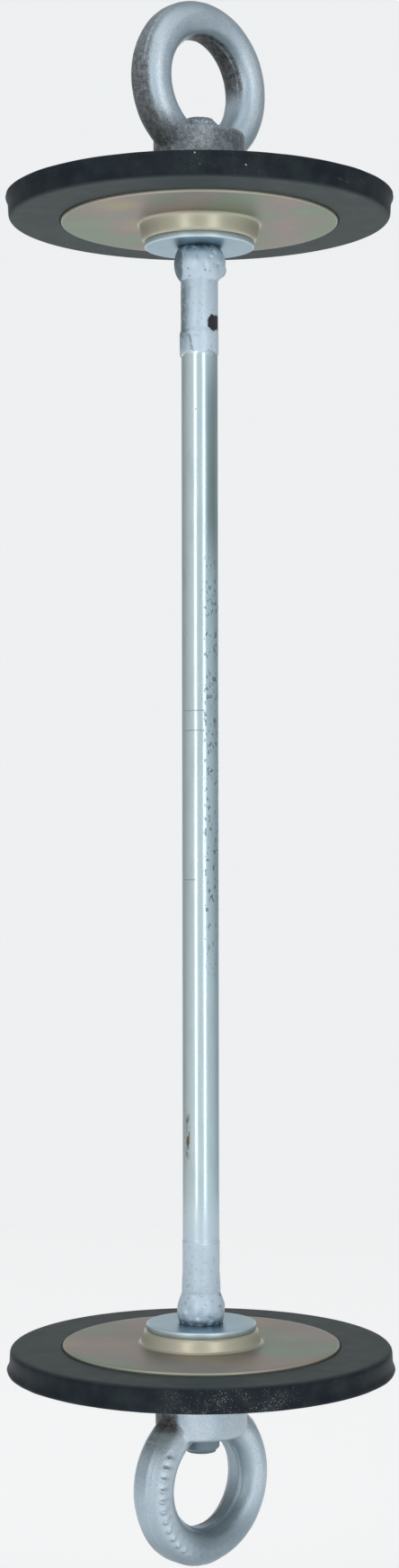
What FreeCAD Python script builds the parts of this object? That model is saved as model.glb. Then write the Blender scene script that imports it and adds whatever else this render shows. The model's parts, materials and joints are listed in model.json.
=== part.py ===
import FreeCAD, Part
import Sketcher

import math
import os

# A hanging kit for a large ball or buoy: a long rod with an eye nut at each end. At both ends the eye nut
# clamps a rubber disc between two dished plates and two washers against a weld bead on the rod.
# The origin is the centre of the upper eye, +Z runs along the rod and the eyes lie in the XZ plane.
# Along the rod each end is measured outwards from its shoulder, the face of its weld bead.

SIZES = [
    ("rod_diameter", 10.0, "shank of the rod"),
    ("thread_diameter", 9.85, "plain cylinder that stands for the M10 thread"),
    ("rod_chamfer", 0.8, "chamfer on both ends of the rod"),
    ("shoulder_span", 292.4, "distance between the two shoulders"),
    ("upper_stud_gap", 9.3, "upper ring centre to the rod's end"),
    ("lower_stud_gap", 8.2, "lower ring centre to the rod's end"),
    ("ring_outer", 45.0, "outside diameter of the eye"),
    ("ring_inner", 25.0, "hole of the eye"),
    ("ring_depth", 11.8, "thickness of the eye along its own axis"),
    ("collar_diameter", 25.0, "round base of the eye nut"),
    ("collar_height", 10.0, "height of the round base"),
    ("collar_round", 1.0, "rounding of the base's rims"),
    ("nut_height", 23.0, "base of the nut to the centre of the eye"),
    ("nut_bore", 10.0, "plain bore that stands for the M10 thread"),
    ("nut_countersink", 0.6, "chamfer at the mouth of the bore"),
    ("washer_outer", 30.0, "flat washer"),
    ("washer_bore", 10.5, "hole of the flat washer"),
    ("washer_thickness", 1.6, "flat washer"),
    ("washer_round", 0.25, "broken rims of the washer"),
    ("plate_outer", 75.4, "dished plate"),
    ("plate_bore", 11.0, "hole of the dished plate"),
    ("plate_sheet", 1.0, "sheet thickness of the dished plate"),
    ("plate_round", 0.3, "broken rims of the dished plate"),
    ("hub_top_radius", 15.5, "hub of the plate at its top, measured on its outside"),
    ("hub_foot_radius", 16.4, "hub of the plate at its foot, measured on its outside"),
    ("hub_shoulder", 0.6, "bevel round the hub's top"),
    ("bead_rise", 0.5, "height of the rounded bead round the hub's foot"),
    ("bead_crown", 0.5, "width of that bead at its top"),
    ("bead_width", 0.8, "width of that bead on the flange"),
    ("hub_wall", 0.8, "wall of the hub, thinned a little by the press"),
    ("hub_upper_inner", 5.0, "hub height of the upper inner plate"),
    ("hub_lower_inner", 3.9, "hub height of the lower inner plate"),
    ("hub_outer", 5.0, "hub height of both outer plates"),
    ("disc_outer", 104.0, "rubber disc without its moulding lip"),
    ("disc_bore", 10.6, "hole of the rubber disc"),
    ("disc_thickness", 6.5, "rubber disc at its rim"),
    ("disc_round", 1.2, "rounded rim on the ball's side"),
    ("disc_lip", 1.0, "how far the moulding lip stands out"),
    ("lip_thickness", 1.0, "moulding lip at its edge"),
    ("recess_radius", 37.9, "where the clamped plate has sunk into the rubber"),
    ("recess_depth", 0.25, "how deep the plate has sunk in"),
    ("upper_bead_radius", 7.2, "upper weld bead at its widest"),
    ("upper_bead_half", 7.2, "half height of the whole upper bead"),
    ("upper_bead_centre", 4.2, "widest place of the upper bead, below its shoulder"),
    ("lower_bead_radius", 6.6, "lower weld bead at its widest"),
    ("lower_bead_half", 10.6, "half height of the whole lower bead"),
    ("lower_bead_centre", 2.5, "widest place of the lower bead, above its shoulder"),
]

# Sizes that follow from the driving ones: the height of each face outwards from its shoulder.
STACK = [
    ("{end}_flange", "washer_thickness + hub_{end}_inner"),
    ("{end}_pressed_in", "{end}_flange + plate_sheet"),
    ("{end}_disc_face", "{end}_pressed_in - recess_depth"),
    ("{end}_pressed_out", "{end}_disc_face + disc_thickness - recess_depth"),
    ("{end}_outer_washer", "{end}_pressed_out + plate_sheet + hub_outer"),
    ("{end}_nut_base", "{end}_outer_washer + washer_thickness"),
    ("{end}_ring_centre", "{end}_nut_base + nut_height"),
]

SAME = 1e-3  # two lengths closer than this are the same

UPRIGHT = FreeCAD.Rotation()
TURNED = FreeCAD.Rotation(FreeCAD.Vector(1, 0, 0), 180)

document = FreeCAD.newDocument("hanging_kit")
sheet = document.addObject("Spreadsheet::Sheet", "Sizes")
sub_parts = []


def write_cell(row, name, value, note=""):
    """Write one named line of the sheet: its name, its value and what it means."""
    sheet.set(f"A{row}", name)
    sheet.set(f"B{row}", value)
    sheet.set(f"C{row}", note)
    sheet.setAlias(f"B{row}", name)


def fill_sheet():
    """Write the driving sizes, then the stack heights of both ends, which are formulas."""
    row = 1
    for name, value, note in SIZES:
        write_cell(row, name, str(value), note)
        row += 1
    for end in ("upper", "lower"):
        for name, sum_of in STACK:
            write_cell(row, name.format(end=end), "=" + sum_of.format(end=end))
            row += 1
    write_cell(row, "upper_shoulder", "=-upper_ring_centre", "height above the origin")
    row += 1
    write_cell(row, "lower_shoulder", "=upper_shoulder - shoulder_span", "height above the origin")
    row += 1
    write_cell(row, "lower_eye_height", "=lower_shoulder - lower_ring_centre", "height above the origin")
    document.recompute()


def size(name):
    """The present value of a cell, in millimetres."""
    return float(sheet.get(name))


def formula(text):
    """An expression in which each word is a cell of the sheet."""
    words = [f"Sizes.{word}" if word.isidentifier() else word for word in text.split()]
    return " ".join(words)


def bind(item, **sizes):
    """Bind properties of an object to formulas."""
    for prop, text in sizes.items():
        item.setExpression(prop, formula(text))


def place(item, label, height, rotation=UPRIGHT):
    """Name a finished sub-part, set it at a height on the rod's axis and list it for export."""
    item.Label = label
    item.Placement = FreeCAD.Placement(FreeCAD.Vector(0, 0, 0), rotation)
    item.setExpression("Placement.Base.z", formula(height))
    sub_parts.append(item)


def origin_plane(body, role):
    """One of the body's own origin planes."""
    return next(plane for plane in body.Origin.OriginFeatures if plane.Role == role)


def new_sketch(body, name, role, height=None):
    """A sketch on one of the body's origin planes, lifted by a formula if one is given."""
    sketch = body.newObject("Sketcher::SketchObject", name)
    sketch.AttachmentSupport = [(origin_plane(body, role), "")]
    sketch.MapMode = "FlatFace"
    if height:
        sketch.setExpression(".AttachmentOffset.Base.z", formula(height))
    return sketch


def circle_sketch(body, name, diameter, height):
    """A circle round the rod's axis, its diameter and height bound to formulas."""
    sketch = new_sketch(body, name, "XY_Plane", height)
    across = evaluate(diameter)
    circle = Part.Circle(FreeCAD.Vector(0, 0, 0), FreeCAD.Vector(0, 0, 1), across / 2)
    index = sketch.addGeometry(circle, False)
    sketch.addConstraint(Sketcher.Constraint("Coincident", index, 3, -1, 1))
    constraint = sketch.addConstraint(Sketcher.Constraint("Diameter", index, across))
    sketch.setExpression(f"Constraints[{constraint}]", formula(diameter))
    return sketch


def profile_sketch(body, name, corners):
    """A closed outline in the XZ plane; each corner is a radius and a height, both formulas."""
    sketch = new_sketch(body, name, "XZ_Plane")
    points = []
    for radius, height in corners:
        points.append(FreeCAD.Vector(evaluate(radius), evaluate(height), 0))
    count = len(points)
    for i in range(count):
        sketch.addGeometry(Part.LineSegment(points[i], points[(i + 1) % count]), False)
    for i in range(count):
        sketch.addConstraint(Sketcher.Constraint("Coincident", i, 2, (i + 1) % count, 1))
    for i, (radius, height) in enumerate(corners):
        pin_corner(sketch, i, "DistanceX", -2, radius, points[i].x)
        pin_corner(sketch, i, "DistanceY", -1, height, points[i].y)
    return sketch


def pin_corner(sketch, line, kind, axis, text, value):
    """Hold the start of a line on an axis, or at a distance from it that a formula gives."""
    if text == "0":
        sketch.addConstraint(Sketcher.Constraint("PointOnObject", line, 1, axis))
        return
    constraint = sketch.addConstraint(Sketcher.Constraint(kind, line, 1, value))
    sketch.setExpression(f"Constraints[{constraint}]", formula(text))


def evaluate(text):
    """The number that a formula of cell names gives at present."""
    return float(sheet.evalExpression(formula(text)))


def revolve(body, sketch):
    """Turn an outline round the rod's axis."""
    turned = body.newObject("PartDesign::Revolution", sketch.Name + "_turned")
    turned.Profile = sketch
    turned.ReferenceAxis = (sketch, ["V_Axis"])
    turned.Angle = 360
    return turned


def edges_at(shape, radius, height):
    """Names of the circular edges with a radius and a height."""
    names = []
    for i, edge in enumerate(shape.Edges):
        curve = edge.Curve
        if not isinstance(curve, Part.Circle):
            continue
        same_radius = math.isclose(curve.Radius, radius, abs_tol=SAME)
        same_height = math.isclose(curve.Center.z, height, abs_tol=SAME)
        if same_radius and same_height:
            names.append(f"Edge{i + 1}")
    return names


def dress(body, base, kind, prop, cell, rims):
    """A fillet or chamfer on the circular edges that lie at the given radii and heights."""
    document.recompute()
    names = []
    for radius, height in rims:
        names += edges_at(base.Shape, radius, height)
    feature = body.newObject(kind, f"{base.Name}_{cell}")
    feature.Base = (base, names)
    feature.setExpression(prop, formula(cell))
    return feature


def rounded(body, base, cell, rims):
    return dress(body, base, "PartDesign::Fillet", "Radius", cell, rims)


def bevelled(body, base, cell, rims):
    return dress(body, base, "PartDesign::Chamfer", "Size", cell, rims)


def make_rod():
    """One bar: a plain shank between the shoulders and a stud for the M10 thread at each end."""
    body = document.addObject("PartDesign::Body", "Rod")
    corners = [
        ("0", "upper_ring_centre - upper_stud_gap"),
        ("thread_diameter / 2", "upper_ring_centre - upper_stud_gap"),
        ("thread_diameter / 2", "0"),
        ("rod_diameter / 2", "0"),
        ("rod_diameter / 2", "0 - shoulder_span"),
        ("thread_diameter / 2", "0 - shoulder_span"),
        ("thread_diameter / 2", "lower_stud_gap - lower_ring_centre - shoulder_span"),
        ("0", "lower_stud_gap - lower_ring_centre - shoulder_span"),
    ]
    bar = revolve(body, profile_sketch(body, "RodOutline", corners))
    stud_radius = size("thread_diameter") / 2
    top = evaluate("upper_ring_centre - upper_stud_gap")
    bottom = evaluate("lower_stud_gap - lower_ring_centre - shoulder_span")
    bevelled(body, bar, "rod_chamfer", [(stud_radius, top), (stud_radius, bottom)])
    place(body, "centre_rod", "upper_shoulder")


def make_weld_bead(end, rotation):
    """A lump of weld round the rod that the inner washer bears on."""
    lump = document.addObject("Part::Ellipsoid", f"{end.title()}BeadLump")
    bind(lump, Radius1=f"{end}_bead_half", Radius2=f"{end}_bead_radius", Radius3=f"{end}_bead_radius")
    lump.setExpression("Placement.Base.z", formula(f"0 - {end}_bead_centre"))
    keep = document.addObject("Part::Cylinder", f"{end.title()}BeadKeep")
    bind(keep, Radius=f"{end}_bead_radius + rod_diameter", Height=f"{end}_bead_half * 2")
    keep.setExpression("Placement.Base.z", formula(f"0 - {end}_bead_half * 2"))
    trimmed = document.addObject("Part::Common", f"{end.title()}BeadTrimmed")
    trimmed.Base = lump
    trimmed.Tool = keep
    bar = document.addObject("Part::Cylinder", f"{end.title()}BeadBar")
    bind(bar, Radius="rod_diameter / 2", Height=f"{end}_bead_half * 4")
    bar.setExpression("Placement.Base.z", formula(f"0 - {end}_bead_half * 2"))
    bead = document.addObject("Part::Cut", f"{end.title()}Bead")
    bead.Base = trimmed
    bead.Tool = bar
    place(bead, f"{end}_weld_bead", f"{end}_shoulder", rotation)


def make_washer(label, height, rotation):
    """A flat washer, its rims broken."""
    body = document.addObject("PartDesign::Body", label.title().replace("_", ""))
    corners = [
        ("washer_bore / 2", "0"),
        ("washer_outer / 2", "0"),
        ("washer_outer / 2", "washer_thickness"),
        ("washer_bore / 2", "washer_thickness"),
    ]
    ring = revolve(body, profile_sketch(body, f"{body.Name}Outline", corners))
    radius = size("washer_outer") / 2
    rounded(body, ring, "washer_round", [(radius, 0), (radius, size("washer_thickness"))])
    place(body, label, height, rotation)


def make_plate(label, hub, height, rotation):
    """A pressed plate: a flat flange on the rubber and a raised hub that the washer bears on."""
    body = document.addObject("PartDesign::Body", label.title().replace("_", ""))
    corners = [
        ("plate_bore / 2", f"plate_sheet + {hub}"),
        ("hub_top_radius - hub_shoulder", f"plate_sheet + {hub}"),
        ("hub_top_radius", f"plate_sheet + {hub} - hub_shoulder"),
        ("hub_foot_radius", "plate_sheet + bead_rise"),
        ("hub_foot_radius + bead_crown", "plate_sheet + bead_rise"),
        ("hub_foot_radius + bead_width", "plate_sheet"),
        ("plate_outer / 2", "plate_sheet"),
        ("plate_outer / 2", "0"),
        ("hub_foot_radius - hub_wall", "0"),
        ("hub_top_radius - hub_wall", f"{hub} - hub_shoulder"),
        ("hub_top_radius - hub_wall - hub_shoulder", hub),
        ("plate_bore / 2", hub),
    ]
    pressing = revolve(body, profile_sketch(body, f"{body.Name}Outline", corners))
    radius = size("plate_outer") / 2
    rounded(body, pressing, "plate_round", [(radius, 0), (radius, size("plate_sheet"))])
    place(body, label, height, rotation)


def make_disc(end, rotation):
    """The rubber disc: a lip left by the mould on the eye's side, and both plates sunk in a little."""
    body = document.addObject("PartDesign::Body", f"{end.title()}Disc")
    corners = [
        ("disc_bore / 2", "recess_depth"),
        ("recess_radius", "recess_depth"),
        ("recess_radius", "0"),
        ("disc_outer / 2", "0"),
        ("disc_outer / 2", "disc_thickness - lip_thickness * 2"),
        ("disc_outer / 2 + disc_lip", "disc_thickness - lip_thickness"),
        ("disc_outer / 2 + disc_lip", "disc_thickness"),
        ("recess_radius", "disc_thickness"),
        ("recess_radius", "disc_thickness - recess_depth"),
        ("disc_bore / 2", "disc_thickness - recess_depth"),
    ]
    moulding = revolve(body, profile_sketch(body, f"{end.title()}DiscOutline", corners))
    rounded(body, moulding, "disc_round", [(size("disc_outer") / 2, 0)])
    sign = "+" if end == "upper" else "-"
    place(body, f"{end}_rubber_disc", f"{end}_shoulder {sign} {end}_disc_face", rotation)


def make_eye_nut(end, rotation):
    """A lifting eye nut: a round base, a ring of oval section standing on it and the bore."""
    body = document.addObject("PartDesign::Body", f"{end.title()}EyeNut")
    base_sketch = circle_sketch(body, f"{end.title()}Base", "collar_diameter", "0 - nut_height")
    base = body.newObject("PartDesign::Pad", f"{end.title()}Collar")
    base.Profile = base_sketch
    bind(base, Length="collar_height")
    radius = size("collar_diameter") / 2
    foot = -size("nut_height")
    rims = [(radius, foot), (radius, foot + size("collar_height"))]
    rounded(body, base, "collar_round", rims)
    section = new_sketch(body, f"{end.title()}Section", "XY_Plane")
    middle = evaluate("ring_outer / 4 + ring_inner / 4")
    half_width = evaluate("ring_outer / 4 - ring_inner / 4")
    half_depth = size("ring_depth") / 2
    centre = FreeCAD.Vector(middle, 0, 0)
    far = FreeCAD.Vector(middle, half_depth, 0)
    near = FreeCAD.Vector(middle + half_width, 0, 0)
    oval = section.addGeometry(Part.Ellipse(far, near, centre), False)
    section.exposeInternalGeometry(oval)
    depth_axis = oval + 1
    width_axis = oval + 2
    section.addConstraint(Sketcher.Constraint("PointOnObject", oval, 3, -1))
    section.addConstraint(Sketcher.Constraint("Vertical", depth_axis))
    pinned = [
        (Sketcher.Constraint("DistanceX", oval, 3, middle), "ring_outer / 4 + ring_inner / 4"),
        (Sketcher.Constraint("Distance", depth_axis, half_depth * 2), "ring_depth"),
        (Sketcher.Constraint("Distance", width_axis, half_width * 2), "ring_outer / 2 - ring_inner / 2"),
    ]
    for constraint, text in pinned:
        index = section.addConstraint(constraint)
        section.setExpression(f"Constraints[{index}]", formula(text))
    ring = body.newObject("PartDesign::Revolution", f"{end.title()}Ring")
    ring.Profile = section
    ring.ReferenceAxis = (section, ["V_Axis"])
    ring.Angle = 360
    bore_sketch = circle_sketch(body, f"{end.title()}BoreCircle", "nut_bore", "0 - nut_height")
    bore = body.newObject("PartDesign::Pocket", f"{end.title()}Bore")
    bore.Profile = bore_sketch
    bore.Reversed = True
    bind(bore, Length="nut_height - ring_inner / 4")
    bevelled(body, bore, "nut_countersink", [(size("nut_bore") / 2, foot)])
    height = "lower_eye_height" if end == "lower" else "upper_shoulder + upper_ring_centre"
    place(body, f"{end}_eye_nut", height, rotation)


def make_end(end, rotation):
    """All that an eye nut clamps against a shoulder, from the weld bead outwards."""
    flipped = TURNED if rotation is UPRIGHT else UPRIGHT
    sign = "+" if end == "upper" else "-"
    make_weld_bead(end, rotation)
    make_washer(f"{end}_inner_washer", f"{end}_shoulder", rotation)
    inner_height = f"{end}_shoulder {sign} {end}_pressed_in"
    make_plate(f"{end}_inner_plate", f"hub_{end}_inner", inner_height, flipped)
    make_disc(end, rotation)
    make_plate(f"{end}_outer_plate", "hub_outer", f"{end}_shoulder {sign} {end}_pressed_out", rotation)
    make_washer(f"{end}_outer_washer", f"{end}_shoulder {sign} {end}_outer_washer", rotation)
    make_eye_nut(end, rotation)


def check_and_export():
    """Stop at anything that failed to build, then write each sub-part to its own file."""
    document.recompute()
    for item in document.Objects:
        if "Invalid" in item.State or "Error" in item.State:
            raise RuntimeError(f"{item.Label} failed: {item.State}")
    os.makedirs("parts", exist_ok=True)
    for item in sub_parts:
        shape = item.Shape
        if shape.isNull() or not shape.isValid() or len(shape.Solids) != 1:
            raise RuntimeError(f"{item.Label} is not one valid solid")
    for item in sub_parts:
        item.Shape.exportStep(f"parts/{item.Label}.step")
        box = item.Shape.BoundBox
        print(f"{item.Label:20s} {item.Shape.Volume:11.1f} mm3  z {box.ZMin:8.2f} to {box.ZMax:8.2f}")


fill_sheet()
make_rod()
make_end("upper", UPRIGHT)
make_end("lower", TURNED)
check_and_export()
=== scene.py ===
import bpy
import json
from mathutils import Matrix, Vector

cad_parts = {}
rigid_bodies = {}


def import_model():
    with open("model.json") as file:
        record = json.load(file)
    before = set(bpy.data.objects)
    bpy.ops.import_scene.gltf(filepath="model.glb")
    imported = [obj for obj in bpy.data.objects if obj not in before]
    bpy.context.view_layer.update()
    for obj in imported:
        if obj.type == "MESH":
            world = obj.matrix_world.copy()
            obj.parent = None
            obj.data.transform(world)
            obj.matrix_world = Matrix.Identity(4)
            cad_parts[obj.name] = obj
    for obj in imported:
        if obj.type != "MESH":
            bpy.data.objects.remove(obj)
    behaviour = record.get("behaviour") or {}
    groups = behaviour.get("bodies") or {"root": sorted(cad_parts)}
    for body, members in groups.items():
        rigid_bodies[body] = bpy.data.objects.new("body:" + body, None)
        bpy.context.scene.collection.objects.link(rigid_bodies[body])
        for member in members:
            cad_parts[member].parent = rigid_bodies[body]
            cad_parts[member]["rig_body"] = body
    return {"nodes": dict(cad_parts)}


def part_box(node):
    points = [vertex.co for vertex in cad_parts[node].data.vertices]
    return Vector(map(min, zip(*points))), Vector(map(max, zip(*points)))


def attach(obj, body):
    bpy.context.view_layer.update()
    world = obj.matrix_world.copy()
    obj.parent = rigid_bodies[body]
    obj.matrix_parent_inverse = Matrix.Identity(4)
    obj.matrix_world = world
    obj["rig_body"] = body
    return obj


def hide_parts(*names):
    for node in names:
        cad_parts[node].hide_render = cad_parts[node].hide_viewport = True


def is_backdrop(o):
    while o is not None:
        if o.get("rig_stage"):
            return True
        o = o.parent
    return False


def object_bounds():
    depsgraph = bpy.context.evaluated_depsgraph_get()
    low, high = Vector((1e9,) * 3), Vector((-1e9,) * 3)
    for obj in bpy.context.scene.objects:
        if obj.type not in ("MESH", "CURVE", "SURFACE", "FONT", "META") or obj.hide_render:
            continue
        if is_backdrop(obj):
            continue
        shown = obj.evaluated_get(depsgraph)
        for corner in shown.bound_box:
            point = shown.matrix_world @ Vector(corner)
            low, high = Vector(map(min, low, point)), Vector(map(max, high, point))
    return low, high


bl_info = {
    "name": "Ball hanging rod",
    "version": (1, 0, 0),
    "blender": (4, 5, 0),
    "location": "View3D > Sidebar > Hanging rod",
    "description": "A long rod with eye nuts, rubber discs and dished plates that hangs a large ball",
    "category": "Add Mesh",
}

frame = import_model()

import json
import math
from contextlib import contextmanager

import bmesh
import bpy
from mathutils import Matrix, Vector, noise

MM = 0.001
TINY = 0.002 * MM
ENDS = ("upper", "lower")

# Heights along the rod, from the upper eye's centre, where its marks and its paint begin and end.
UPPER_FILM_EDGE = -73.2 * MM
LOWER_FILM_EDGE = -314.2 * MM
SLEEVE_TOP = -66.6 * MM
LOWER_SWELL = -322 * MM
KNOCKS = (-236 * MM, -128 * MM)
STAIN = (-128 * MM, -78 * MM)
RUST = (-291 * MM, -280 * MM)
BURN = (-67.0 * MM, -62.8 * MM)
CRACK = (-73 * MM, -68 * MM)
# Heights of the painted shade on the upper film's left side.
SHADED_FILM_SPAN = (-71 * MM, -53 * MM)
MIST = (-300 * MM, -312 * MM)

# Length of the smooth end of each stud, beyond its thread.
SMOOTH_TIP = 4.5 * MM

# The side of the rod that took the knocks, and the direction across it.
WORN_TURN = math.radians(-43)
WORN_SIDE = Vector((math.sin(WORN_TURN), -math.cos(WORN_TURN), 0))
ACROSS = Vector((math.cos(WORN_TURN), math.sin(WORN_TURN), 0))


# ---------------------------------------------------------------- places taken from the frame

def outward(end):
    """+1 where away from the rod's middle is up, and -1 where it is down."""
    return 1 if end == "upper" else -1


def faces(node):
    """Heights of a node's two faces: the one nearer the rod's middle, then the other."""
    low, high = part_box(node)
    return (low.z, high.z) if node.startswith("upper") else (high.z, low.z)


def rim_radius(node):
    """Outside radius of a round node."""
    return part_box(node)[1].x


def shoulder(end):
    """Height of the face that the stack of one end bears on."""
    return faces(f"{end}_inner_washer")[0]


def eye_centre(end):
    """Height of the centre of an eye: half its width in from the eye's tip."""
    return faces(f"{end}_eye_nut")[1] - outward(end) * rim_radius(f"{end}_eye_nut")


# ---------------------------------------------------------------- modelling by hand

def only(piece):
    """Select one piece and nothing else."""
    bpy.ops.object.select_all(action="DESELECT")
    piece.select_set(True)
    bpy.context.view_layer.objects.active = piece


@contextmanager
def editing(piece):
    """Edit mode on one piece, with nothing selected to start with."""
    only(piece)
    bpy.ops.object.mode_set(mode="EDIT")
    bpy.ops.mesh.select_all(action="DESELECT")
    yield
    bpy.ops.object.mode_set(mode="OBJECT")


def pick(piece, kind, test):
    """In edit mode, select the vertices, edges or faces that pass a test."""
    bpy.ops.mesh.select_mode(type=kind)
    bpy.ops.mesh.select_all(action="DESELECT")
    form = bmesh.from_edit_mesh(piece.data)
    items = {"VERT": form.verts, "EDGE": form.edges, "FACE": form.faces}[kind]
    for item in items:
        if test(item):
            item.select_set(True)
    form.select_flush_mode()
    bmesh.update_edit_mesh(piece.data)


def start(name, add, **sizes):
    """Add a primitive with an operator, name it and put its place into its mesh."""
    bpy.ops.object.select_all(action="DESELECT")
    add(**sizes)
    piece = bpy.context.object
    piece.name = name
    piece.data.name = name
    bpy.ops.object.transform_apply(location=True, rotation=True, scale=True)
    return piece


def apply_modifier(piece, kind, **settings):
    """Add a modifier, set it up and apply it."""
    only(piece)
    modifier = piece.modifiers.new(kind.title(), kind)
    for key, value in settings.items():
        setattr(modifier, key, value)
    bpy.ops.object.modifier_apply(modifier=modifier.name)


def tidy_surface():
    """In edit mode, merge doubles, drop loose bits and turn all faces outwards."""
    bpy.ops.mesh.select_mode(type="VERT")
    bpy.ops.mesh.select_all(action="SELECT")
    bpy.ops.mesh.remove_doubles(threshold=TINY)
    bpy.ops.mesh.delete_loose()
    bpy.ops.mesh.select_all(action="SELECT")
    bpy.ops.mesh.normals_make_consistent(inside=False)


def on_axis(vertex):
    """Whether a vertex lies on the rod's axis."""
    return math.hypot(vertex.co.x, vertex.co.y) < TINY


def lathe(name, outline, steps, rounds=(), longest=None):
    """Draw a closed outline corner by corner, round some corners and spin it about the rod's axis.

    outline holds (radius, height) corners, rounds holds (corner number, radius, segments), and an edge
    over longest is cut into shorter ones.
    """
    radius, height = outline[0]
    piece = start(name, bpy.ops.mesh.primitive_plane_add, size=MM, location=(radius, 0, height))
    with editing(piece):
        bpy.ops.mesh.select_all(action="SELECT")
        bpy.ops.mesh.merge(type="CENTER")
        for here, there in zip(outline, outline[1:]):
            step = (there[0] - here[0], 0, there[1] - here[1])
            bpy.ops.mesh.extrude_vertices_move(TRANSFORM_OT_translate={"value": step})
        bpy.ops.mesh.select_all(action="SELECT")
        bpy.ops.mesh.edge_face_add()
        for corner, size, segments in rounds:
            place = Vector((outline[corner][0], 0, outline[corner][1]))
            pick(piece, "VERT", lambda vertex: (vertex.co - place).length < TINY)
            bpy.ops.mesh.bevel(affect="VERTICES", offset=size, offset_type="OFFSET", segments=segments)
        bpy.ops.mesh.select_mode(type="FACE")
        bpy.ops.mesh.select_all(action="SELECT")
        bpy.ops.mesh.delete(type="ONLY_FACE")
        pick(piece, "EDGE", lambda edge: all(on_axis(vertex) for vertex in edge.verts))
        bpy.ops.mesh.delete(type="EDGE")
        cut_long_edges(piece, longest)
        bpy.ops.mesh.select_mode(type="EDGE")
        bpy.ops.mesh.select_all(action="SELECT")
        bpy.ops.mesh.spin(steps=steps, angle=2 * math.pi, center=(0, 0, 0), axis=(0, 0, 1))
        tidy_surface()
    return piece


def cut_long_edges(piece, longest):
    """Cut each edge of an outline into equal lengths no longer than the longest allowed."""
    if not longest:
        return
    form = bmesh.from_edit_mesh(piece.data)
    cuts = sorted({int(edge.calc_length() / longest) for edge in form.edges} - {0})
    for count in cuts:
        def needs(edge, count=count):
            return int(edge.calc_length() / longest) == count
        pick(piece, "EDGE", needs)
        bpy.ops.mesh.subdivide(number_cuts=count)


def nudge(piece, move):
    """Move every vertex of a piece by what a function of its place gives."""
    for vertex in piece.data.vertices:
        vertex.co += move(vertex.co.copy())
    piece.data.update()


def smooth_by_angle(piece, degrees):
    """Shade a piece smooth, except over edges sharper than an angle."""
    only(piece)
    bpy.ops.object.shade_smooth_by_angle(angle=math.radians(degrees))


def put(piece, node, material):
    """Give a finished piece its material, and let it stand for its node and ride on its body."""
    piece.data.materials.clear()
    piece.data.materials.append(material)
    body = frame["nodes"][node]["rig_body"]
    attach(piece, body)
    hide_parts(node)


def grain(place, size, seed=0.0):
    """Smooth noise from -1 to 1 whose lumps are about one size across."""
    return noise.noise(place / size + Vector((seed, seed * 1.7, seed * 0.3)))


def bump_at(value, centre, width):
    """A rounded bump of height 1 round a centre."""
    return math.exp(-(((value - centre) / width) ** 2))


def ramp(value, low, high):
    """0 up to low, 1 from high on, and smooth between them."""
    share = min(1.0, max(0.0, (value - low) / (high - low)))
    return share * share * (3 - 2 * share)


# ---------------------------------------------------------------- materials

class Wire:
    """A value, a colour or a vector on its way between two nodes."""

    def __init__(self, finish, socket):
        self.finish = finish
        self.socket = socket

    def _maths(self, operation, *values):
        inputs = dict(enumerate(values))
        return self.finish.node("ShaderNodeMath", {"operation": operation}, inputs)

    def __add__(self, other):
        return self._maths("ADD", self, other)

    def __radd__(self, other):
        return self._maths("ADD", other, self)

    def __sub__(self, other):
        return self._maths("SUBTRACT", self, other)

    def __rsub__(self, other):
        return self._maths("SUBTRACT", other, self)

    def __mul__(self, other):
        return self._maths("MULTIPLY", self, other)

    def __rmul__(self, other):
        return self._maths("MULTIPLY", other, self)

    def __truediv__(self, other):
        return self._maths("DIVIDE", self, other)

    def __rtruediv__(self, other):
        return self._maths("DIVIDE", other, self)

    def __abs__(self):
        return self._maths("ABSOLUTE", self)

    def root(self):
        """Square root."""
        return self._maths("SQRT", self)

    def least(self, other):
        """The smaller of two values."""
        return self._maths("MINIMUM", self, other)

    def most(self, other):
        """The larger of two values."""
        return self._maths("MAXIMUM", self, other)

    def rise(self, low, high):
        """0 up to low, 1 from high on; with low over high it falls instead."""
        settings = {"interpolation_type": "SMOOTHSTEP"}
        if low < high:
            inputs = {"Value": self, "From Min": low, "From Max": high}
            return self.finish.node("ShaderNodeMapRange", settings, inputs)
        inputs = {"Value": self, "From Min": high, "From Max": low, "To Min": 1.0, "To Max": 0.0}
        return self.finish.node("ShaderNodeMapRange", settings, inputs)

    def band(self, low, high, soft):
        """1 between low and high, with soft ends."""
        return self.rise(low - soft, low + soft) * self.rise(high + soft, high - soft)


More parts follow.
